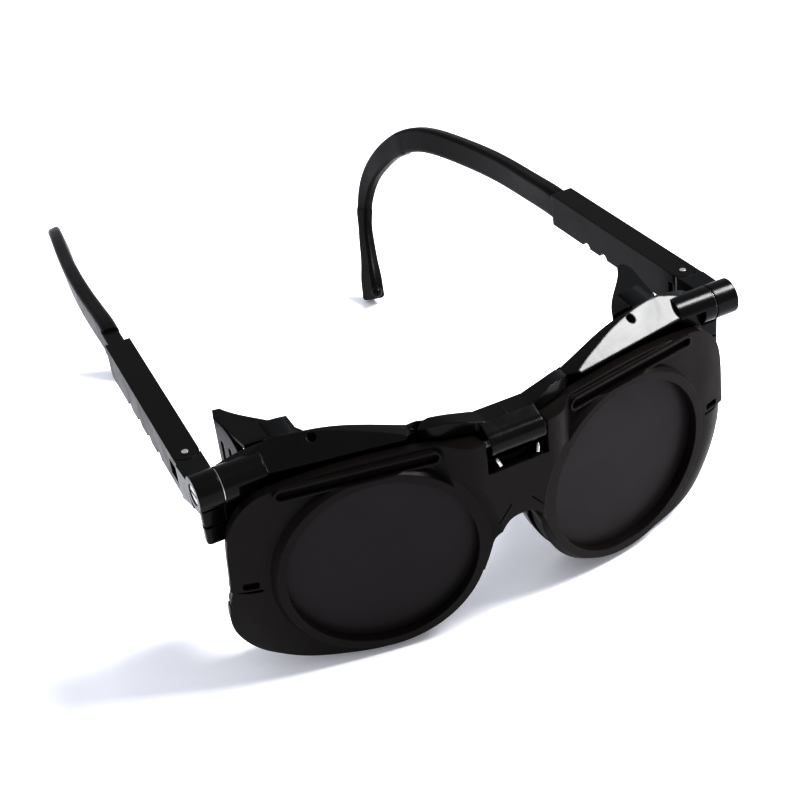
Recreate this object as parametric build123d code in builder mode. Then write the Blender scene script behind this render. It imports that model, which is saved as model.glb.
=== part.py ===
from build123d import *
from math import cos, radians, sin, tan
import os

"""Flip-front welding goggles: a spectacle frame with clear lenses, and a hinged front with dark filters.

Millimetres, +Z up, +Y towards the wearer's ears, +X towards the wearer's left. Every piece is drawn
about a point midway between the two lens centres, and is set down on the table when it is written.
"""

# Eyes and lenses
HALF_PD = 34.4            # from the middle of the nose to each lens centre
WRAP = 10.9               # degrees that each lens plane turns back round the face
OPENING_R = 23.6          # clear radius of the lenses
LENS_R = 25.0             # both kinds of lens are 50 mm discs
FILTER_THICK = 3.0
CLEAR_THICK = 2.4
LENS_PLAY = 0.05          # radial room of a disc in its groove

# Flip front
PANEL_THICK = 2.8
RING_R = 27.8             # raised ring round each filter
RING_RISE = 2.2
RING_TAPER = 30.0
MOUTH_R = 24.3            # the ring's opening in front of the filter
HOUSING_R = 26.9          # cup behind the panel that holds the filter
FILTER_FACE = -0.4        # filter's front face, behind the panel's front
HOUSING_DEPTH = 5.2
RIB_LENGTH, RIB_HEIGHT = 41.0, 3.8
RIB_RISE = 1.3
RIB_WALL = 0.65
SLIT_V = -0.3             # height of the slit in the ring's ear side
NOTCH_HALF = 8.3          # half width of the hinge notch
NOTCH_FLOOR = 21.0
BRIDGE_TOP = 30.2
BRIDGE_FRONT = -9.6       # front face of the nose bridge
BRIDGE_BACK = -4.2
BRIDGE_EDGE = 19.0        # where the bridge has run down into the lens panels
BRIDGE_CONE = 50.0        # degrees that the bridge slopes down to each ring
ARCH_TOP = 5.8
HINGE_DEPTH = 14.0        # how far each side of the middle the pin's hole runs

# Bridge hinge
HINGE_Y = -7.6
HINGE_Z = 28.6
BARREL_R = 3.2
BARREL_HALF = 7.3
PIN_R = 1.0
SPRING_Z = 24.3           # the wire spring lies under the barrel
SPRING_HALF = 5.6
WIRE_R = 0.5
RUN = 0.05                # radial clearance of a part that turns on a pin

# Back frame
RIM_FRONT = -6.4          # frame's front face, behind each lens plane
RIM_PLATE = 3.8           # thickness of the lens-holding wall
RIM_BOTTOM = -29.7
LIP_FRONT = -2.6          # brow lip that hangs over the flip front
LIP_UNDER = 31.3
SADDLE_FRONT = -5.0       # the saddle hangs forward over the flip front's top edge
SADDLE_UNDER = 30.8
BROW_BACK = ((60, 21.2), (50, 20.2), (39, 17.8), (21, 9.6), (10, 5.8), (0, 3.8))
BROW_LEAN_FROM = 27.0     # above this height the brow's back leans forward
BROW_LEAN = 0.8
BROW_SLOPE = ((2.2, 31.9), (11.0, 37.6))    # the brow's top rises backwards: depth and height of its line
BROW_HOLE_AT = (44.0, 9.7)

RIM_SCREW_AT = (70.0, 14.5)
RIM_SCREW_R = 0.8
RIM_SCREW_LENGTH = 8.0
RIM_HEAD_R = 1.3
RIM_HEAD_DEPTH = 1.1
RIM_LUG_LOW, RIM_LUG_HIGH = 13.0, 22.6
RIM_SLIT = 17.6
PEG_AT = (44.0, 14.2)     # side shield's peg, up into the brow
PEG_R = 1.1
PEG_TOP = 29.9

ROOF_TOP, ROOF_THICK = 32.3, 1.4

# Tilt joint at each temple
TILT_Y = 11.0
TILT_Z = 30.5
TILT_R = 4.6
TILT_INNER = 57.0
TILT_FACE = 67.8          # where the frame's barrel ends
TILT_END = 74.3
WASHER_THICK = 0.3
WASHER_PLAY = 0.1
SCREW_R = 1.3
SCREW_HEAD_R = 2.6
SCREW_HEAD_DEPTH = 1.6
SCREW_START = 60.0

# Temple: fold pin, sleeve and arm
FOLD_X, FOLD_Y = 70.5, 26.0
SPLAY = 2.2               # degrees that each temple leans in towards its end
SLEEVE_WIDTH = 6.8
SLEEVE_LOW, SLEEVE_HIGH = 22.6, 32.3
SLEEVE_END = 59.0         # from the fold pin
EAR_REACH = 1.5           # outer stop face, in front of the pin's axis
FOLD_PIN_R = 0.9
TONGUE_LOW, TONGUE_HIGH = 25.6, 29.4
CHANNEL_START = 9.0
CHANNEL_WIDTH, CHANNEL_LOW, CHANNEL_HIGH = 4.8, 24.2, 31.3
SLIDE_PLAY = 0.2
NOTCH_PITCH = 8.5         # steps of the length adjustment
NOTCH_COUNT = 4
RIGHT_PULLED_OUT = 8.5    # the wearer's right temple is set one notch longer than the left

TEMPLE_TILT = -2.0        # degrees that the temples hang below the lens axes

# On the table the goggles lean forward on their lower rims and the tips of the ear hooks
REST_LEAN = 6.8

OUT = (cos(radians(WRAP)), sin(radians(WRAP)), 0)
AHEAD = (sin(radians(WRAP)), -cos(radians(WRAP)), 0)
LENS = Plane(origin=(HALF_PD, 0, 0), x_dir=OUT, z_dir=AHEAD)
LENS_PLAN = Plane(origin=(HALF_PD, 0, 0), x_dir=OUT, z_dir=(0, 0, 1))
BACKWARD = (-AHEAD[0], -AHEAD[1], 0)
LENS_SIDE = Plane(origin=(HALF_PD, 0, 0), x_dir=BACKWARD, z_dir=OUT)
FRONT_VIEW = Plane(origin=(0, 0, 0), x_dir=(1, 0, 0), z_dir=(0, -1, 0))
SIDE_VIEW = Plane.YZ
IN_LINE = (-sin(radians(SPLAY)), cos(radians(SPLAY)), 0)
ACROSS = (cos(radians(SPLAY)), sin(radians(SPLAY)), 0)
TEMPLE_PLAN = Plane(origin=(FOLD_X, FOLD_Y, 0), x_dir=ACROSS, z_dir=(0, 0, 1))
TEMPLE_SIDE = Plane(origin=(FOLD_X, FOLD_Y, 0), x_dir=IN_LINE, z_dir=ACROSS)


def write(piece, label, place):
    """Set a piece down on the table and write it."""
    placed = place * piece
    placed.label = label
    export_step(placed, f"parts/{label}.step")


def pair(label, piece):
    """The wearer's left piece and its mirror image, by name."""
    return {f"{label}_left": piece, f"{label}_right": mirror(piece, about=Plane.YZ)}


# ---------------------------------------------------------------- flip front
def panel_outline():
    """Outer edge of one lens panel, from the hinge notch round the ear side to the nose arch."""
    with BuildSketch(LENS) as sketch:
        with BuildLine():
            top = Spline((-26.4, 30.0), (-15.8, 30.0), (2, 30.3), (16, 29.4), (24, 28.2))
            side = Spline(top @ 1, (28.6, 26.9), (32.6, 23.4), (35.2, 18.6), (36.6, 11.5), (37.4, 0.6))
            step = Line(side @ 1, (36.9, SLIT_V))
            lobe = Spline(step @ 1, (38.2, -6.4), (38.6, -12.2), (37.4, -17.4), (34.6, -21.2), (29.6, -23.4))
            chin = Spline(lobe @ 1, (24.3, -24.8), (12.3, -27.3), (1.5, -28.6), (-8.5, -26.6), (-17, -19.6),
                          (-24.6, -10))
            nose = Spline(chin @ 1, (-27.4, -3.6), (-31.2, 3.0), (-35.2, ARCH_TOP))
            Polyline(nose @ 1, (-35.2, 22), (-26.4, 22), top @ 0)
        make_face()
    return sketch.sketch


def panel_band():
    """Plan section of the panel above the slit: flat across the lens, curling back past it."""
    with BuildSketch(LENS_PLAN) as sketch:
        with BuildLine():
            face = Line((-40, 0), (28, 0))
            curl = Spline(face @ 1, (34, 0.5), (39.4, 2.2), tangents=[(1, 0), (0.85, 0.5)])
            rim = Line(curl @ 1, (38.2, 4.6))
            back = Spline(rim @ 1, (33, 3.2), (28, PANEL_THICK), tangents=[(-0.85, -0.5), (-1, 0)])
            Polyline(back @ 1, (-40, PANEL_THICK), (-40, 0))
        make_face()
    return sketch.sketch


def panel_dish():
    """Panel below the slit: flat round the filter, and turned back all round its outer edge."""
    with BuildPart() as dish:
        with BuildSketch(LENS_PLAN):
            with BuildLine():
                face = Line((0, 0), (30, 0))
                curl = Spline(face @ 1, (36.4, 1.9), (43, 7.4), tangents=[(1, 0), (0.66, 0.75)])
                rim = Line(curl @ 1, (41.2, 9.2))
                back = Spline(rim @ 1, (35.4, 4.5), (30, PANEL_THICK), tangents=[(-0.66, -0.75), (-1, 0)])
                Polyline(back @ 1, (0, PANEL_THICK), (0, 0))
            make_face()
        revolve(axis=Axis((HALF_PD, 0, 0), AHEAD))
        with BuildSketch(Plane.XY.offset(SLIT_V)):
            with Locations((HALF_PD, 0)):
                Rectangle(120, 120)
        extrude(amount=60, mode=Mode.SUBTRACT)
    return dish.part


def bridge_block():
    """Thick middle of the flip front: flat round the notch, and running down into the lens panels."""
    with BuildPart() as block:
        with BuildSketch(Plane.XY.offset(-15)):
            with BuildLine():
                flat = Line((0, BRIDGE_FRONT), (NOTCH_HALF + 1, BRIDGE_FRONT))
                ramp = Spline(flat @ 1, (14.4, -7.4), (BRIDGE_EDGE, -3.0), tangents=[(1, 0.05), (1, 0.5)])
                Polyline(ramp @ 1, (BRIDGE_EDGE, -1.6), (11, BRIDGE_BACK), (0, BRIDGE_BACK), flat @ 0)
            make_face()
        extrude(amount=15 + BRIDGE_TOP)
        with BuildSketch(FRONT_VIEW):
            with BuildLine():
                arch = Spline((0, ARCH_TOP), (3.6, 4.9), (6.6, 0.8), (10.3, -9.8),
                              tangents=[(1, 0), (0.4, -1)])
                Polyline(arch @ 1, (BRIDGE_EDGE, -9.8), (BRIDGE_EDGE, 30.4), (NOTCH_HALF, 30.4),
                         (NOTCH_HALF, NOTCH_FLOOR), (0, NOTCH_FLOOR), arch @ 0)
            make_face()
        extrude(amount=20, both=True, mode=Mode.INTERSECT)
        with BuildSketch(FRONT_VIEW.offset(-BRIDGE_FRONT)):
            with BuildLine():
                Polyline((2.6, 9.7), (8.0, 3.1), (8.2, 3.3), (2.9, 9.9), close=True)
            make_face()
        extrude(amount=-0.5, mode=Mode.SUBTRACT)
    return block.part


def stiffening_rib():
    """Long rounded wall on the panel's top edge, with a groove inside it."""
    inside = RIB_HEIGHT - 2 * RIB_WALL
    with BuildPart() as rib:
        with BuildSketch(LENS):
            with Locations((3.2, 27.2)):
                SlotOverall(RIB_LENGTH, RIB_HEIGHT)
                SlotOverall(RIB_LENGTH - 2 * RIB_WALL, inside, mode=Mode.SUBTRACT)
        extrude(amount=RIB_RISE)
    return rib.part


def flip_front():
    """Hinged front: two panels, filter housings, stiffening ribs, snap slits and the hinge bore."""
    with BuildPart() as front:
        extrude(panel_band(), amount=35, dir=(0, 0, 1), both=True)
        with BuildSketch(Plane.XY.offset(SLIT_V)):
            with Locations((HALF_PD, 0)):
                Rectangle(120, 120)
        extrude(amount=-40, mode=Mode.SUBTRACT)
        add(panel_dish())
        extrude(panel_outline(), amount=14, dir=AHEAD, both=True, mode=Mode.INTERSECT)
        add(bridge_block())
        with BuildSketch(LENS.offset(-HOUSING_DEPTH)):
            Circle(HOUSING_R)
        extrude(amount=HOUSING_DEPTH)
        with BuildSketch(LENS.offset(RING_RISE)):
            Circle(RING_R)
        extrude(amount=12, taper=-BRIDGE_CONE, mode=Mode.SUBTRACT)
        with BuildSketch(LENS):
            Circle(RING_R)
        extrude(amount=RING_RISE, taper=RING_TAPER)
        with BuildSketch(LENS.offset(-0.4)):
            with Locations((3.2, 27.2)):
                SlotOverall(RIB_LENGTH - 2 * RIB_WALL, RIB_HEIGHT - 2 * RIB_WALL)
        extrude(amount=5, mode=Mode.SUBTRACT)
        add(stiffening_rib())
        with BuildSketch(LENS.offset(-HOUSING_DEPTH - 1)):
            Circle(OPENING_R)
        extrude(amount=HOUSING_DEPTH + 1, mode=Mode.SUBTRACT)
        with BuildSketch(LENS.offset(FILTER_FACE)):
            Circle(LENS_R + LENS_PLAY)
        extrude(amount=-FILTER_THICK - 2 * LENS_PLAY, mode=Mode.SUBTRACT)
        with BuildSketch(LENS.offset(FILTER_FACE)):
            Circle(MOUTH_R)
        extrude(amount=RING_RISE - FILTER_FACE + 4, mode=Mode.SUBTRACT)
        with BuildSketch(Plane.YZ):
            with Locations((HINGE_Y, HINGE_Z)):
                Circle(PIN_R + RUN)
        extrude(amount=HINGE_DEPTH - 1.5, mode=Mode.SUBTRACT)
        add(snap_cuts(), mode=Mode.SUBTRACT)
        split(bisect_by=Plane.YZ, keep=Keep.TOP)
        mirror(about=Plane.YZ)
    return front.part


def snap_cuts():
    """Slit, finger pocket and edge notches where the rim springs open to change a filter."""
    with BuildPart() as cuts:
        with BuildSketch(LENS):
            with Locations((34.6, SLIT_V)):
                Rectangle(9.6, 0.7)
            with Locations((38.3, -3.2), (38.5, -6.0)):
                Circle(0.8)
        extrude(amount=12, both=True)
        with BuildSketch(LENS.offset(-2)):
            with Locations((32.4, 1.6)):
                RectangleRounded(4, 2, 0.6)
        extrude(amount=6)
    return cuts.part


def dark_lens():
    """Round dark filter."""
    with BuildPart() as lens:
        with BuildSketch(LENS.offset(FILTER_FACE - LENS_PLAY)):
            Circle(LENS_R)
        extrude(amount=-FILTER_THICK)
    return lens.part


# ---------------------------------------------------------------- back frame
def frame_outline():
    """Front view of the frame's half: saddle, hump, valley, brow, ear side, round rim and nose arch."""
    with BuildSketch(FRONT_VIEW) as sketch:
        with BuildLine():
            saddle = Spline((0, 33.3), (8, 33.7), (15.2, 34.9), (18.6, 34.1), (21.4, 31.7))
            brow = Spline(saddle @ 1, (31, 34.2), (44, 36.2), (56, 36.0), (66, 31.8))
            side = Spline(brow @ 1, (67.2, 20), (66.6, 8), (63.6, -7), (56.6, -19))
            chin = Spline(side @ 1, (46, -27.4), (35, RIM_BOTTOM), (22, -26.4), (12.6, -17.6), (6.8, -6))
            nose = Spline(chin @ 1, (4.6, 2.6), (0, 6.2))
            Line(nose @ 1, saddle @ 0)
        make_face()
    return sketch.sketch


def frame_band():
    """Plan section of the frame: front follows the flip front, back follows the wearer's brow."""
    behind = -RIM_FRONT / cos(radians(WRAP))
    slope = tan(radians(WRAP))
    with BuildSketch(Plane.XY) as sketch:
        with BuildLine():
            Polyline((0, -2.2), (5.4, -2.2), (7, behind - (HALF_PD - 7) * slope),
                     (70, behind + (70 - HALF_PD) * slope), (70, 20.8), BROW_BACK[0])
            back = Spline(*BROW_BACK)
            Line(back @ 1, (0, -2.2))
        make_face()
    return sketch.sketch


def eye_hollow():
    """Space behind the rim for the wearer's eye: round, and drawn out towards the ear."""
    hollow = Circle(26.4) + Pos(18.5, 15) * Circle(11.5) + Pos(20, -5) * Circle(11)
    return make_hull(hollow.edges())


def back_frame():
    """Spectacle frame with its brow, round lens rims, bridge barrel and tilt barrels."""
    with BuildPart() as frame:
        extrude(frame_band(), amount=60, dir=(0, 0, 1), both=True)
        extrude(frame_outline(), amount=60, dir=(0, -1, 0), both=True, mode=Mode.INTERSECT)
        add(brow_lip())
        add(saddle_cap())
        with BuildSketch(Plane.XY.offset(BROW_LEAN_FROM)):
            with BuildLine():
                back = Spline(*BROW_BACK)
                Polyline(back @ 1, (0, 50), (80, 50), (80, 20.8), (70, 20.8), back @ 0)
            make_face()
        extrude(amount=12, dir=(0, -BROW_LEAN, 1), mode=Mode.SUBTRACT)
        low, high = BROW_SLOPE
        with BuildSketch(LENS_SIDE.offset(-13.4)):
            with BuildLine():
                Polyline(low, high, (high[0], 60), (-30, 60), (-30, low[1]), close=True)
            make_face()
        extrude(amount=13.4 + 32, mode=Mode.SUBTRACT)
        with BuildSketch(LENS.offset(RIM_FRONT - RIM_PLATE)):
            add(eye_hollow())
        extrude(amount=-40, mode=Mode.SUBTRACT)
        with BuildSketch(LENS.offset(RIM_FRONT + 2)):
            Circle(OPENING_R)
        extrude(amount=-12, mode=Mode.SUBTRACT)
        with BuildSketch(LENS.offset(RIM_FRONT - (RIM_PLATE - CLEAR_THICK) / 2 + LENS_PLAY)):
            Circle(LENS_R + LENS_PLAY)
        extrude(amount=-CLEAR_THICK - 2 * LENS_PLAY, mode=Mode.SUBTRACT)
        add(outer_lugs())
        add(outer_cuts(), mode=Mode.SUBTRACT)
        add(bridge_barrel())
        split(bisect_by=Plane.YZ, keep=Keep.TOP)
        mirror(about=Plane.YZ)
    return frame.part


def saddle_cap():
    """Top of the saddle, which hangs forward over the flip front."""
    with BuildPart() as cap:
        with BuildSketch(Plane.XY.offset(SADDLE_UNDER)):
            with BuildLine():
                front = Spline((0, SADDLE_FRONT), (8, SADDLE_FRONT), (13.4, -3.4), (17.6, -1.6), (20.6, 1.4),
                               tangents=[(1, 0), (0.6, 1)])
                Polyline(front @ 1, (19, 2.4), (10, 0.6), (0, -2), front @ 0)
            make_face()
        extrude(amount=10)
        extrude(frame_outline(), amount=60, dir=(0, -1, 0), both=True, mode=Mode.INTERSECT)
    return cap.part


def brow_lip():
    """Rounded lip over the flip front's top edge."""
    with BuildSketch(FRONT_VIEW) as lip:
        with BuildLine():
            under = Line((20, LIP_UNDER), (62, LIP_UNDER + 0.2))
            Spline(under @ 1, (56, 36.0), (44, 36.2), (31, 34.2), (21.6, 31.9), under @ 0)
        make_face()
    slope = tan(radians(WRAP))
    ahead = -LIP_FRONT / cos(radians(WRAP))
    with BuildPart() as band:
        with BuildSketch(Plane.XY):
            with BuildLine():
                Polyline((20, ahead - (HALF_PD - 20) * slope + 3), (24, ahead - (HALF_PD - 24) * slope),
                         (58, ahead + (58 - HALF_PD) * slope), (62, 13), (62, 16), (20, 4),
                         close=True)
            make_face()
        extrude(amount=60, both=True)
        extrude(lip.sketch, amount=60, dir=(0, -1, 0), both=True, mode=Mode.INTERSECT)
    return band.part


def outer_lugs():
    """Barrel that the temple tilts on, and the block under it that closes the rim."""
    with BuildPart() as lugs:
        with BuildSketch(Plane.YZ.offset(TILT_INNER)):
            with Locations((TILT_Y, TILT_Z)):
                Circle(TILT_R)
        extrude(amount=TILT_FACE - TILT_INNER)
        with BuildSketch(Plane.YZ.offset(TILT_INNER)):
            with Locations((TILT_Y - 7, TILT_Z - 5)):
                Rectangle(10, 12)
        extrude(amount=64.4 - TILT_INNER, mode=Mode.SUBTRACT)
        with BuildSketch(Plane.XY.offset(RIM_LUG_LOW)):
            with Locations((68.4, RIM_SCREW_AT[1])):
                RectangleRounded(8.6, 3.2, 1)
        extrude(amount=RIM_LUG_HIGH - RIM_LUG_LOW)
        with BuildSketch(Plane.XY.offset(RIM_LUG_HIGH)):
            with Locations((65.4, 14.0)):
                Rectangle(3.2, 3)
        extrude(amount=6)
    return lugs.part


def outer_cuts():
    """Screw holes, the slit in the rim, the shield's peg hole, and room for the tilting block."""
    with BuildPart() as cuts:
        with BuildSketch(Plane.YZ.offset(SCREW_START)):
            with Locations((TILT_Y, TILT_Z)):
                Circle(SCREW_R)
        extrude(amount=TILT_FACE - SCREW_START)
        with BuildSketch(Plane.XY.offset(RIM_LUG_LOW)):
            with Locations(RIM_SCREW_AT):
                Circle(RIM_SCREW_R)
        extrude(amount=RIM_SCREW_LENGTH)
        with BuildSketch(Plane.XY.offset(RIM_LUG_LOW)):
            with Locations(RIM_SCREW_AT):
                Circle(RIM_HEAD_R)
        extrude(amount=RIM_HEAD_DEPTH)
        with BuildSketch(Plane.XY.offset(RIM_SLIT)):
            with Locations((66.6, 13)):
                Rectangle(14, 22)
        extrude(amount=0.7)
        with BuildSketch(Plane.XY.offset(RIM_SLIT)):
            with Locations((70.8, 20)):
                Rectangle(8, 8.2)
        extrude(amount=30)
        with BuildSketch(Plane.YZ):
            with Locations((-1.2, SPRING_Z)):
                Rectangle(5.6, 2.4 * WIRE_R)
        extrude(amount=SPRING_HALF + 0.7)
        with BuildSketch(Plane.XY.offset(20)):
            with Locations(PEG_AT):
                Circle(PEG_R)
        extrude(amount=PEG_TOP + 0.3 - 20)
        with BuildSketch(Plane.XY.offset(33)):
            with Locations(BROW_HOLE_AT):
                Circle(PEG_R)
        extrude(amount=6)
    return cuts.part


def bridge_barrel():
    """Barrel that the flip front hangs on, and the web that joins it to the saddle."""
    with BuildPart() as barrel:
        with BuildSketch(Plane.YZ):
            with Locations((HINGE_Y, HINGE_Z)):
                Circle(BARREL_R)
            with BuildLine():
                Polyline((HINGE_Y - 0.9, HINGE_Z + 3.0), (SADDLE_FRONT, 33.2), (0, 33.2), (0, 27.4),
                         (HINGE_Y, HINGE_Z - 1), close=True)
            make_face()
            with Locations((HINGE_Y, HINGE_Z)):
                Circle(PIN_R, mode=Mode.SUBTRACT)
        extrude(amount=BARREL_HALF)
    return barrel.part


def clear_lens():
    """Clear impact lens in the back frame."""
    with BuildPart() as lens:
        with BuildSketch(LENS.offset(RIM_FRONT - (RIM_PLATE - CLEAR_THICK) / 2)):
            Circle(LENS_R)
        extrude(amount=-CLEAR_THICK)
    return lens.part


def rim_screw():
    """Screw that closes the rim round its clear lens."""
    with BuildPart() as screw:
        with BuildSketch(Plane.XY.offset(RIM_LUG_LOW)):
            with Locations(RIM_SCREW_AT):
                Circle(RIM_HEAD_R)
                Rectangle(3, 0.5, mode=Mode.SUBTRACT)
        extrude(amount=0.6)
        with BuildSketch(Plane.XY.offset(RIM_LUG_LOW + 0.6)):
            with Locations(RIM_SCREW_AT):
                Circle(RIM_HEAD_R)
        extrude(amount=RIM_HEAD_DEPTH - 0.6)
        with BuildSketch(Plane.XY.offset(RIM_LUG_LOW + RIM_HEAD_DEPTH)):
            with Locations(RIM_SCREW_AT):
                Circle(RIM_SCREW_R)
        extrude(amount=RIM_SCREW_LENGTH - RIM_HEAD_DEPTH)
    return screw.part


def bridge_pin():
    """Steel pin of the flip hinge."""
    with BuildPart() as pin:
        with BuildSketch(Plane.YZ):
            with Locations((HINGE_Y, HINGE_Z)):
                Circle(PIN_R)
        extrude(amount=HINGE_DEPTH - 2, both=True)
    return pin.part


def detent_spring():
    """Steel wire hoop: its legs press under the bridge barrel's sides to hold the front shut or raised."""
    tip = (SPRING_HALF - 0.6, -9.9, SPRING_Z - 1.7)
    with BuildPart() as spring:
        with BuildLine() as path:
            FilletPolyline((0, 0.8, SPRING_Z), (SPRING_HALF, 0.8, SPRING_Z), (SPRING_HALF, -9.2, SPRING_Z),
                           tip, radius=0.9)
        with BuildSketch(Plane.YZ):
            with Locations((0.8, SPRING_Z)):
                Circle(WIRE_R)
        sweep(path=path.line)
        mirror(about=Plane.YZ)
    return spring.part


# ---------------------------------------------------------------- side shields
def side_shield():
    """Moulded shield behind the ear side of the frame: a slotted wall, a roof and a peg for the brow."""
    with BuildPart() as shield:
        with BuildSketch(Plane.XY):
            with BuildLine():
                Polyline((57, 15.4), (58.4, 22), (59.9, 34.6), (59.0, 37.6), (57.4, 37.2), (58.4, 34.4),
                         (56.8, 22), (55.4, 15.1), close=True)
            make_face()
        extrude(amount=60, both=True)
        with BuildSketch(SIDE_VIEW):
            with BuildLine():
                crown = Spline((22.4, 23), (23.4, 28.6), (27, 31.2), (33, 32.2), (41, ROOF_TOP))
                Line(crown @ 1, (41, -8))
                foot = Spline((41, -8), (32, -13), (22, -13), (12, -10.6))
                Polyline(foot @ 1, (12, 21.6), crown @ 0)
            make_face()
        extrude(amount=90, both=True, mode=Mode.INTERSECT)
        with BuildSketch(Plane.XY.offset(ROOF_TOP - ROOF_THICK)):
            with BuildLine():
                Polyline((43.4, 17.2), (50, 18.8), (57.6, 19.8), (59.9, 34.6), (59.0, 37.6), (57.2, 37.2))
                Spline((57.2, 37.2), (52.6, 30.2), (47.4, 24), (43.4, 17.2))
            make_face()
        extrude(amount=ROOF_THICK)
        with BuildSketch(Plane.XY.offset(20.6)):
            with BuildLine():
                Polyline((41.4, 12.6), (55.6, 15.2), (57, 18.4), (47, 17), (41.4, 15.4), close=True)
            make_face()
        extrude(amount=1.5)
        with BuildSketch(Plane.XY.offset(22)):
            with Locations(PEG_AT):
                Circle(PEG_R)
        extrude(amount=PEG_TOP - 22)
        with BuildSketch(SIDE_VIEW.offset(50)):
            with Locations((28, 20), (32, 20)):
                SlotOverall(13, 1.3, rotation=90)
        extrude(amount=15, mode=Mode.SUBTRACT)
    return shield.part


# ---------------------------------------------------------------- temples
def tilt_block():
    """Turns on the tilt barrel and carries the fold pin."""
    half = SLEEVE_WIDTH / 2
    start = TILT_FACE + WASHER_THICK + WASHER_PLAY
    with BuildPart() as block:
        with BuildSketch(TEMPLE_PLAN.offset(SLEEVE_LOW)):
            with Locations((0, -7)):
                Rectangle(SLEEVE_WIDTH, 14)
        extrude(amount=SLEEVE_HIGH - SLEEVE_LOW)
        with BuildSketch(Plane.YZ.offset(60)):
            with BuildLine():
                Polyline((8, 20), (8, 26.6), (TILT_Y, TILT_Z - TILT_R + 0.2),
                         (FOLD_Y - EAR_REACH - 2.2, SLEEVE_LOW), (FOLD_Y, 20), close=True)
            make_face()
        extrude(amount=30, mode=Mode.SUBTRACT)
        with BuildSketch(Plane.YZ.offset(60)):
            with Locations((TILT_Y, TILT_Z)):
                Circle(TILT_R + 0.4)
        extrude(amount=30, mode=Mode.SUBTRACT)
        with BuildSketch(Plane.YZ.offset(start)):
            with Locations((TILT_Y, TILT_Z)):
                Circle(TILT_R)
            with BuildLine():
                Polyline((TILT_Y, TILT_Z + 1.8), (FOLD_Y - EAR_REACH - 2.2, SLEEVE_HIGH),
                         (FOLD_Y - EAR_REACH - 2.2, SLEEVE_LOW), (TILT_Y, TILT_Z - TILT_R + 0.2),
                         close=True)
            make_face()
        extrude(amount=TILT_END - start)
        with BuildSketch(TEMPLE_PLAN.offset(SLEEVE_LOW - 5)):
            Circle(half + 0.25)
            with Locations((half / 2 + 2, 5 - EAR_REACH - 0.15)):
                Rectangle(half + 4, 10)
            with Locations((0, 6)):
                Rectangle(20, 12)
        extrude(amount=25, mode=Mode.SUBTRACT)
        with BuildSketch(TEMPLE_PLAN.offset(TONGUE_LOW)):
            Circle(half - 0.3)
            with Locations((0, -3)):
                Rectangle(SLEEVE_WIDTH - 0.6, 6)
        extrude(amount=TONGUE_HIGH - TONGUE_LOW)
        with BuildSketch(TEMPLE_PLAN.offset(TONGUE_LOW)):
            Circle(FOLD_PIN_R)
        extrude(amount=TONGUE_HIGH - TONGUE_LOW, mode=Mode.SUBTRACT)
        with BuildSketch(Plane.YZ.offset(start)):
            with Locations((TILT_Y, TILT_Z)):
                Circle(SCREW_R + RUN)
        extrude(amount=TILT_END - start, mode=Mode.SUBTRACT)
        with BuildSketch(Plane.YZ.offset(TILT_END)):
            with Locations((TILT_Y, TILT_Z)):
                Circle(SCREW_HEAD_R + 2 * RUN)
        extrude(amount=-SCREW_HEAD_DEPTH - 2 * RUN, mode=Mode.SUBTRACT)
    return block.part


def tilt_screw():
    """Screw through the outer barrel into the frame."""
    with BuildPart() as screw:
        with BuildSketch(Plane.YZ.offset(SCREW_START)):
            with Locations((TILT_Y, TILT_Z)):
                Circle(SCREW_R)
        extrude(amount=TILT_END - SCREW_HEAD_DEPTH - SCREW_START)
        with BuildSketch(Plane.YZ.offset(TILT_END - SCREW_HEAD_DEPTH)):
            with Locations((TILT_Y, TILT_Z)):
                Circle(SCREW_HEAD_R)
        extrude(amount=SCREW_HEAD_DEPTH - 0.2)
        with BuildSketch(Plane.YZ.offset(TILT_END)):
            with Locations((TILT_Y, TILT_Z)):
                Rectangle(4.4, 0.7)
        extrude(amount=-0.9, mode=Mode.SUBTRACT)
    return screw.part


def tilt_washer():
    """Thin friction washer between the two barrels."""
    with BuildPart() as washer:
        with BuildSketch(Plane.YZ.offset(TILT_FACE)):
            with Locations((TILT_Y, TILT_Z)):
                Circle(TILT_R - 0.3)
                Circle(SCREW_R, mode=Mode.SUBTRACT)
        extrude(amount=WASHER_THICK)
    return washer.part


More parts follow.
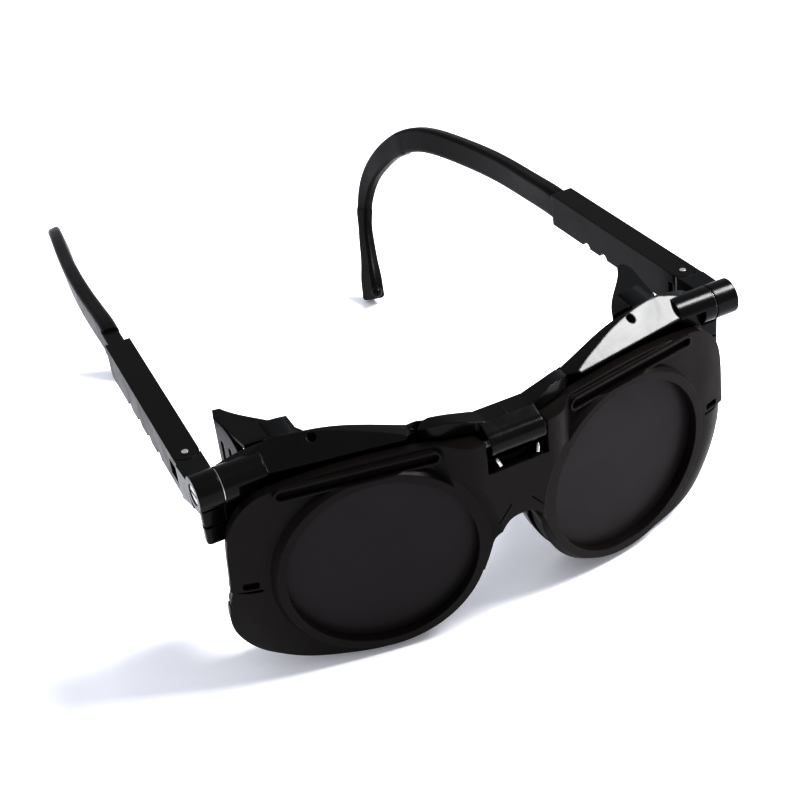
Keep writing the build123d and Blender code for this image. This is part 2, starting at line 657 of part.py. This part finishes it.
def temple_sleeve():
    """Outer half of the temple: fold ears, sliding channel and notched lower edge."""
    half = SLEEVE_WIDTH / 2
    with BuildPart() as sleeve:
        with BuildSketch(TEMPLE_PLAN.offset(SLEEVE_LOW)):
            Circle(half)
            with Locations((0, SLEEVE_END / 2)):
                Rectangle(SLEEVE_WIDTH, SLEEVE_END)
            with Locations((half / 2, -EAR_REACH / 2)):
                Rectangle(half, EAR_REACH)
        extrude(amount=SLEEVE_HIGH - SLEEVE_LOW)
        with BuildSketch(TEMPLE_PLAN.offset(TONGUE_LOW - 0.2)):
            Circle(half + 0.2)
            with Locations((0, -4)):
                Rectangle(2 * SLEEVE_WIDTH, 8)
            with Locations((half, 0)):
                Rectangle(SLEEVE_WIDTH, 2 * half + 0.4)
        extrude(amount=TONGUE_HIGH - TONGUE_LOW + 0.4, mode=Mode.SUBTRACT)
        with BuildSketch(TEMPLE_PLAN.offset(SLEEVE_LOW)):
            Circle(FOLD_PIN_R + RUN)
        extrude(amount=SLEEVE_HIGH - SLEEVE_LOW, mode=Mode.SUBTRACT)
        with BuildSketch(TEMPLE_PLAN.offset(CHANNEL_LOW)):
            with Locations((0, (CHANNEL_START + SLEEVE_END) / 2)):
                Rectangle(CHANNEL_WIDTH, SLEEVE_END - CHANNEL_START)
        extrude(amount=CHANNEL_HIGH - CHANNEL_LOW, mode=Mode.SUBTRACT)
        with BuildSketch(TEMPLE_PLAN.offset(SLEEVE_LOW)):
            with Locations((0, (CHANNEL_START + SLEEVE_END) / 2)):
                SlotOverall(SLEEVE_END - CHANNEL_START - 6, 2.0, rotation=90)
        extrude(amount=CHANNEL_LOW - SLEEVE_LOW, mode=Mode.SUBTRACT)
        with BuildSketch(TEMPLE_SIDE.offset(-half)):
            with Locations(*[(16 + NOTCH_PITCH * step, SLEEVE_LOW - 0.5) for step in range(NOTCH_COUNT)]):
                Circle(1.9)
        extrude(amount=SLEEVE_WIDTH, mode=Mode.SUBTRACT)
    return sleeve.part


def fold_pin():
    """Upright pin that the temple folds on."""
    with BuildPart() as pin:
        with BuildSketch(TEMPLE_PLAN.offset(SLEEVE_LOW + 0.3)):
            Circle(FOLD_PIN_R)
        extrude(amount=SLEEVE_HIGH - SLEEVE_LOW - 0.1)
    return pin.part


ARM_STATIONS = (
    # centre of the bar, its thickness and its height
    ((67.95, 85.2, 27.5), 4.6, 8.8),
    ((66.9, 118, 26.6), 4.2, 8.5),
    ((64.0, 146, 24.4), 4.0, 8.2),
    ((61.0, 166, 20.8), 3.8, 8.0),
    ((58.6, 180.5, 13.4), 3.8, 7.8),
    ((56.4, 191.5, 4.0), 3.8, 7.4),
    ((54.4, 199.0, -6.5), 3.6, 6.6),
    ((52.4, 200.6, -16.0), 3.4, 5.6),
    ((50.0, 197.0, -24.0), 3.4, 5.4),
    ((47.8, 191.8, -31.0), 3.8, 6.4),
    ((45.8, 187.2, -37.4), 4.6, 8.4),
    ((44.4, 183.8, -43.0), 4.6, 8.8),
)
HOOK_TURN = 10            # degrees that the bar's flat faces turn in by the hook
HOOK_LEAN = 14            # degrees that the hook leans in towards the neck
HOOK_START, HOOK_FULL = 100.0, 175.0
NUB_AT = (44.6, 180.6, -38.6)
NUB_R = 1.9
SLICES = 2                # sections between two stations
SLICES_PER_LOFT = 7


def arm_sections():
    """Rounded sections along the arm, between its stations."""
    centres = [Vector(*centre) for centre, _, _ in ARM_STATIONS]
    path = Spline(*centres, tangents=[IN_LINE, (-0.25, -0.6, -1)])
    marks = [path.param_at_point(centre) for centre in centres]
    sections = []
    for number in range(len(marks) - 1):
        for slice_number in range(SLICES):
            sections.append(arm_section(path, marks, number, slice_number / SLICES))
    sections.append(arm_section(path, marks, len(marks) - 2, 1))
    return sections


def arm_section(path, marks, number, part):
    """One section, a part of the way from one station to the next. Its flat faces turn in with the bend."""
    at = marks[number] + (marks[number + 1] - marks[number]) * part
    centre, along = path @ at, path % at
    bent = min(1, max(0, (centre.Y - HOOK_START) / (HOOK_FULL - HOOK_START)))
    turn = radians(SPLAY + (HOOK_TURN - SPLAY) * bent)
    across = Vector(cos(turn), sin(turn), -tan(radians(HOOK_LEAN)) * bent)
    plane = Plane(origin=centre, x_dir=across - along * across.dot(along), z_dir=along)
    _, thick_a, high_a = ARM_STATIONS[number]
    _, thick_b, high_b = ARM_STATIONS[number + 1]
    thick = thick_a + (thick_b - thick_a) * part
    high = high_a + (high_b - high_a) * part
    return plane * RectangleRounded(thick, high, thick * 0.3)


def temple_arm():
    """Inner half of the temple: sliding tongue, curved bar, and ear hook ending in a paddle."""
    sections = arm_sections()
    with BuildPart() as arm:
        for first in range(0, len(sections) - 1, SLICES_PER_LOFT):
            loft(sections=sections[first:first + SLICES_PER_LOFT + 1])
        fillet(arm.faces().sort_by(Axis.Z)[0].edges(), 1.2)
        with Locations(NUB_AT):
            Sphere(NUB_R)
        with BuildSketch(TEMPLE_PLAN.offset(CHANNEL_LOW + SLIDE_PLAY)):
            with Locations((0, (CHANNEL_START + 3 + SLEEVE_END + 1.5) / 2)):
                Rectangle(CHANNEL_WIDTH - 2 * SLIDE_PLAY, SLEEVE_END - CHANNEL_START - 1.5)
        extrude(amount=CHANNEL_HIGH - CHANNEL_LOW - 2 * SLIDE_PLAY)
        with BuildSketch(TEMPLE_PLAN.offset(SLEEVE_LOW + 0.6)):
            with Locations((0, 16)):
                Circle(0.8)
        extrude(amount=3)
    return arm.part


def all_pieces():
    """Every piece by name, in the drawing frame."""
    front = {
        "back_frame": back_frame(),
        "flip_front": flip_front(),
        "bridge_pin": bridge_pin(),
        "detent_spring": detent_spring(),
        **pair("clear_lens", clear_lens()),
        **pair("dark_lens", dark_lens()),
        **pair("rim_screw", rim_screw()),
        **pair("side_shield", side_shield()),
        **pair("tilt_screw", tilt_screw()),
        **pair("tilt_washer", tilt_washer()),
    }
    hang = Pos(0, TILT_Y, TILT_Z) * Rot(TEMPLE_TILT, 0, 0) * Pos(0, -TILT_Y, -TILT_Z)
    arm = temple_arm()
    pulled = [RIGHT_PULLED_OUT * part for part in IN_LINE]
    temples = {
        **pair("tilt_block", hang * tilt_block()),
        **pair("temple_sleeve", hang * temple_sleeve()),
        **pair("fold_pin", hang * fold_pin()),
        "temple_arm_left": hang * arm,
        "temple_arm_right": mirror(hang * Pos(*pulled) * arm, about=Plane.YZ),
    }
    return front | temples


def main():
    os.makedirs("parts", exist_ok=True)
    pieces = all_pieces()
    lean = Rot(REST_LEAN, 0, 0)
    boxes = [(lean * piece).bounding_box() for piece in pieces.values()]
    depth = (min(box.min.Y for box in boxes) + max(box.max.Y for box in boxes)) / 2
    floor = min(box.min.Z for box in boxes)
    place = Pos(0, -depth, -floor) * lean
    print(f"middle of the depth {depth:.4f}, lowest point {floor:.4f}")
    for label, piece in pieces.items():
        write(piece, label, place)


main()
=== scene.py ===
import math

import bpy
from mathutils import Matrix, Vector

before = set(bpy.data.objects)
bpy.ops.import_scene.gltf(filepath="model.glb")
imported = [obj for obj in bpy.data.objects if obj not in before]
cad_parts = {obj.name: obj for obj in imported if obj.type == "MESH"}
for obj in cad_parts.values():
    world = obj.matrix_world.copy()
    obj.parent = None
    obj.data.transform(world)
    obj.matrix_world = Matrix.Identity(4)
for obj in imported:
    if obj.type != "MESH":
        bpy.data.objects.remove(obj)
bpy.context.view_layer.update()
scene = bpy.context.scene
MM = 0.001


# ---------------------------------------------------------------- camera
CAMERA_AT = (-145.72 * MM, -424.37 * MM, 263.48 * MM)
CAMERA_AZIMUTH = -20.703
CAMERA_ELEVATION = 29.141
CAMERA_ROLL = -9.896
CAMERA_LENS = 76.5
CAMERA_SENSOR = 36


def make_camera():
    """Look down at the goggles from ahead, on the wearer's right, with the camera rolled a little."""
    data = bpy.data.cameras.new("main_camera")
    data.lens = CAMERA_LENS
    data.sensor_width = CAMERA_SENSOR
    camera = bpy.data.objects.new("main_camera", data)
    scene.collection.objects.link(camera)
    turn = (Matrix.Rotation(math.radians(CAMERA_AZIMUTH), 4, "Z")
            @ Matrix.Rotation(math.radians(90 - CAMERA_ELEVATION), 4, "X")
            @ Matrix.Rotation(math.radians(CAMERA_ROLL), 4, "Z"))
    camera.matrix_world = Matrix.Translation(Vector(CAMERA_AT)) @ turn
    scene.camera = camera


# ---------------------------------------------------------------- node helpers
NOISE_LOW, NOISE_HIGH = 0.3, 0.7   # nearly all of a noise pattern lies between these two values


class Nodes:
    """Short names for building one material's node tree."""

    def __init__(self, name):
        self.material = bpy.data.materials.new(name)
        self.material.use_nodes = True
        self.tree = self.material.node_tree
        self.shader = self.tree.nodes["Principled BSDF"]

    def add(self, kind, inputs=None, **settings):
        node = self.tree.nodes.new(kind)
        for key, value in settings.items():
            setattr(node, key, value)
        for key, value in (inputs or {}).items():
            if isinstance(value, bpy.types.NodeSocket):
                self.tree.links.new(value, node.inputs[key])
            else:
                node.inputs[key].default_value = value
        return node

    def link(self, socket, to):
        self.tree.links.new(socket, self.shader.inputs[to])

    def set(self, to, value):
        self.shader.inputs[to].default_value = value

    def coords(self):
        return self.add("ShaderNodeTexCoord").outputs["Object"]

    def noise(self, scale, detail=4.0, roughness=0.55, distortion=0.0, vector=None):
        inputs = {"Scale": scale, "Detail": detail, "Roughness": roughness, "Distortion": distortion,
                  "Vector": vector or self.coords()}
        return self.add("ShaderNodeTexNoise", inputs).outputs["Fac"]

    def ramp(self, factor, low, high, low_at=NOISE_LOW, high_at=NOISE_HIGH):
        """Blend from one colour to another as the factor rises from low_at to high_at."""
        node = self.add("ShaderNodeValToRGB", {"Fac": factor})
        stops = ((low_at, low), (high_at, high))
        for element, (position, colour) in zip(node.color_ramp.elements, stops):
            element.position = position
            element.color = (*colour, 1)
        return node.outputs["Color"]

    def spread(self, factor, low, high):
        """Map the noise's usual range onto low to high."""
        node = self.add("ShaderNodeMapRange", {"Value": factor, "From Min": NOISE_LOW, "From Max": NOISE_HIGH,
                                               "To Min": low, "To Max": high})
        return node.outputs["Result"]

    def bump(self, height, strength, depth_mm, normal=None):
        inputs = {"Height": height, "Strength": strength, "Distance": depth_mm * MM}
        if normal is not None:
            inputs["Normal"] = normal
        return self.add("ShaderNodeBump", inputs).outputs["Normal"]

    def rounded(self, radius_mm):
        return self.add("ShaderNodeBevel", {"Radius": radius_mm * MM}, samples=4).outputs["Normal"]


# ---------------------------------------------------------------- materials
# Noise scales are per metre: 900 gives a grain of about a millimetre.
MOTTLE, MOTTLE_HIGH = 38, 0.72
GRAIN = 900
SMEARS = 120
SINK_MARKS, SINK_STRENGTH, SINK_DEPTH = 70, 0.10, 0.05
SCRATCHES, SCRATCH_DEPTH = 260, 0.01
SCRATCH_STRETCH, SCRATCH_TURN = (3.0, 0.25, 3.0), (0.2, 0.3, 0.5)
SCRATCH_FROM, SCRATCH_TO = 0.62, 0.70
BLACK, WHITE = (0, 0, 0), (1, 1, 1)


def moulded(name, dark, light, roughness, grain, grain_depth, edge, scratches, specular):
    """Injection-moulded plastic: mottled colour, uneven gloss, fine grain, scratches and softened edges."""
    n = Nodes(name)
    mottle = n.noise(MOTTLE, detail=5, roughness=0.6)
    n.link(n.ramp(mottle, dark, light, high_at=MOTTLE_HIGH), "Base Color")
    smear = n.noise(SMEARS, detail=6, roughness=0.7, distortion=0.6)
    n.link(n.spread(smear, *roughness), "Roughness")
    normal = n.bump(n.noise(GRAIN, detail=3, roughness=0.5), grain, grain_depth, n.rounded(edge))
    normal = n.bump(n.noise(SINK_MARKS, detail=2), SINK_STRENGTH, SINK_DEPTH, normal)
    stretched = n.add("ShaderNodeMapping", {"Vector": n.coords(), "Scale": SCRATCH_STRETCH,
                                            "Rotation": SCRATCH_TURN}).outputs["Vector"]
    lines = n.ramp(n.noise(SCRATCHES, detail=2, vector=stretched), BLACK, WHITE, SCRATCH_FROM, SCRATCH_TO)
    n.link(n.bump(lines, scratches, SCRATCH_DEPTH, normal), "Normal")
    n.set("Specular IOR Level", specular)
    return n.material


def filter_glass():
    """Dark filter disc: nearly opaque grey-brown with a faint purple cast, dust and light smears."""
    n = Nodes("dark_filter")
    cloud = n.noise(24, detail=4, roughness=0.6)
    n.link(n.ramp(cloud, (0.0200, 0.0162, 0.0170), (0.0270, 0.0220, 0.0230)), "Base Color")
    smear = n.noise(60, detail=7, roughness=0.7, distortion=1.2)
    n.link(n.spread(smear, 0.32, 0.46), "Roughness")
    dust = n.noise(1400, detail=2)
    n.link(n.bump(dust, 0.12, 0.01), "Normal")
    n.set("Specular IOR Level", 0.25)
    return n.material


def clear_glass():
    """Clear impact lens, with a trace of grey in its body and fine wiping marks."""
    n = Nodes("clear_lens")
    wipe = n.noise(90, detail=6, roughness=0.7, distortion=1.5)
    n.link(n.ramp(wipe, (0.90, 0.93, 0.93), (0.97, 0.99, 0.99)), "Base Color")
    n.link(n.spread(wipe, 0.02, 0.07), "Roughness")
    n.link(n.bump(wipe, 0.02, 0.01), "Normal")
    n.set("Transmission Weight", 0.96)
    n.set("IOR", 1.5)
    return n.material


def steel():
    """Bright steel with fine tool marks and a little dulling."""
    n = Nodes("steel")
    dull = n.noise(300, detail=5, roughness=0.65)
    n.link(n.ramp(dull, (0.50, 0.50, 0.51), (0.72, 0.71, 0.70)), "Base Color")
    n.link(n.spread(dull, 0.2, 0.42), "Roughness")
    marks = n.noise(2500, detail=2)
    n.link(n.bump(marks, 0.15, 0.01, n.rounded(0.15)), "Normal")
    n.set("Metallic", 1.0)
    return n.material


def both(*names):
    return [f"{name}_{side}" for name in names for side in ("left", "right")]


def dress():
    """Give every node of the frame its finish."""
    gloss = moulded("gloss_black_frame", dark=(0.003, 0.003, 0.003), light=(0.006, 0.006, 0.006),
                    roughness=(0.16, 0.26), grain=0.06, grain_depth=0.01, edge=0.6, scratches=0.05,
                    specular=0.3)
    satin = moulded("satin_black_front", dark=(0.0110, 0.0080, 0.0074), light=(0.0165, 0.0125, 0.0118),
                    roughness=(0.36, 0.48), grain=0.22, grain_depth=0.02, edge=0.5, scratches=0.04,
                    specular=0.22)
    temple = moulded("black_temple", dark=(0.0040, 0.0030, 0.0028), light=(0.0080, 0.0062, 0.0058),
                     roughness=(0.26, 0.38), grain=0.15, grain_depth=0.015, edge=0.5, scratches=0.06,
                     specular=0.24)
    finishes = (
        (["back_frame"] + both("tilt_block", "side_shield"), gloss),
        (["flip_front"], satin),
        (both("temple_sleeve", "temple_arm"), temple),
        (both("dark_lens"), filter_glass()),
        (both("clear_lens"), clear_glass()),
        (["bridge_pin", "detent_spring"] + both("rim_screw", "tilt_screw", "fold_pin", "tilt_washer"),
         steel()),
    )
    for names, material in finishes:
        for name in names:
            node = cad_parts[name]
            node.data.materials.clear()
            node.data.materials.append(material)


# ---------------------------------------------------------------- stage and light
FLOOR_HALF = 4.0
FLOOR_GLOW = 0.14
KEY_AT, KEY_AIM = (0.65, -0.32, 0.83), (0.0, -0.05, 0.03)
KEY_SIDE, KEY_POWER = 0.42, 11
ROOM_COLOUR, ROOM_STRENGTH = (0.93, 0.95, 1, 1), 0.5
EXPOSURE, CONTRAST = 0.75, 0.62


def make_floor():
    """Pale tabletop with a very faint mottle, lit a little from within so that shadows on it stay light."""
    mesh = bpy.data.meshes.new("floor")
    corners = [(x * FLOOR_HALF, y * FLOOR_HALF, 0) for x, y in ((-1, -1), (1, -1), (1, 1), (-1, 1))]
    mesh.from_pydata(corners, [], [(0, 1, 2, 3)])
    floor = bpy.data.objects.new("floor", mesh)
    scene.collection.objects.link(floor)
    n = Nodes("tabletop")
    n.link(n.ramp(n.noise(30), (0.90, 0.90, 0.93), (0.93, 0.93, 0.95)), "Base Color")
    n.set("Roughness", 0.9)
    n.set("Specular IOR Level", 0.1)
    n.set("Emission Color", (0.97, 0.97, 1, 1))
    n.set("Emission Strength", FLOOR_GLOW)
    mesh.materials.append(n.material)


def make_key():
    """A square softbox, high up ahead on the wearer's left."""
    data = bpy.data.lights.new("key", "AREA")
    data.shape = "RECTANGLE"
    data.size = data.size_y = KEY_SIDE
    data.energy = KEY_POWER
    light = bpy.data.objects.new("key", data)
    scene.collection.objects.link(light)
    light.location = KEY_AT
    light.rotation_euler = (Vector(KEY_AIM) - Vector(KEY_AT)).to_track_quat("-Z", "Y").to_euler()


def make_room():
    """A dim pale room, and enough contrast to keep the black parts black on the white table."""
    world = bpy.data.worlds.new("studio")
    world.use_nodes = True
    background = world.node_tree.nodes["Background"]
    background.inputs["Color"].default_value = ROOM_COLOUR
    background.inputs["Strength"].default_value = ROOM_STRENGTH
    scene.world = world
    scene.view_settings.view_transform = "Standard"
    scene.view_settings.exposure = EXPOSURE
    scene.view_settings.gamma = CONTRAST


make_camera()
make_floor()
make_room()
make_key()
dress()
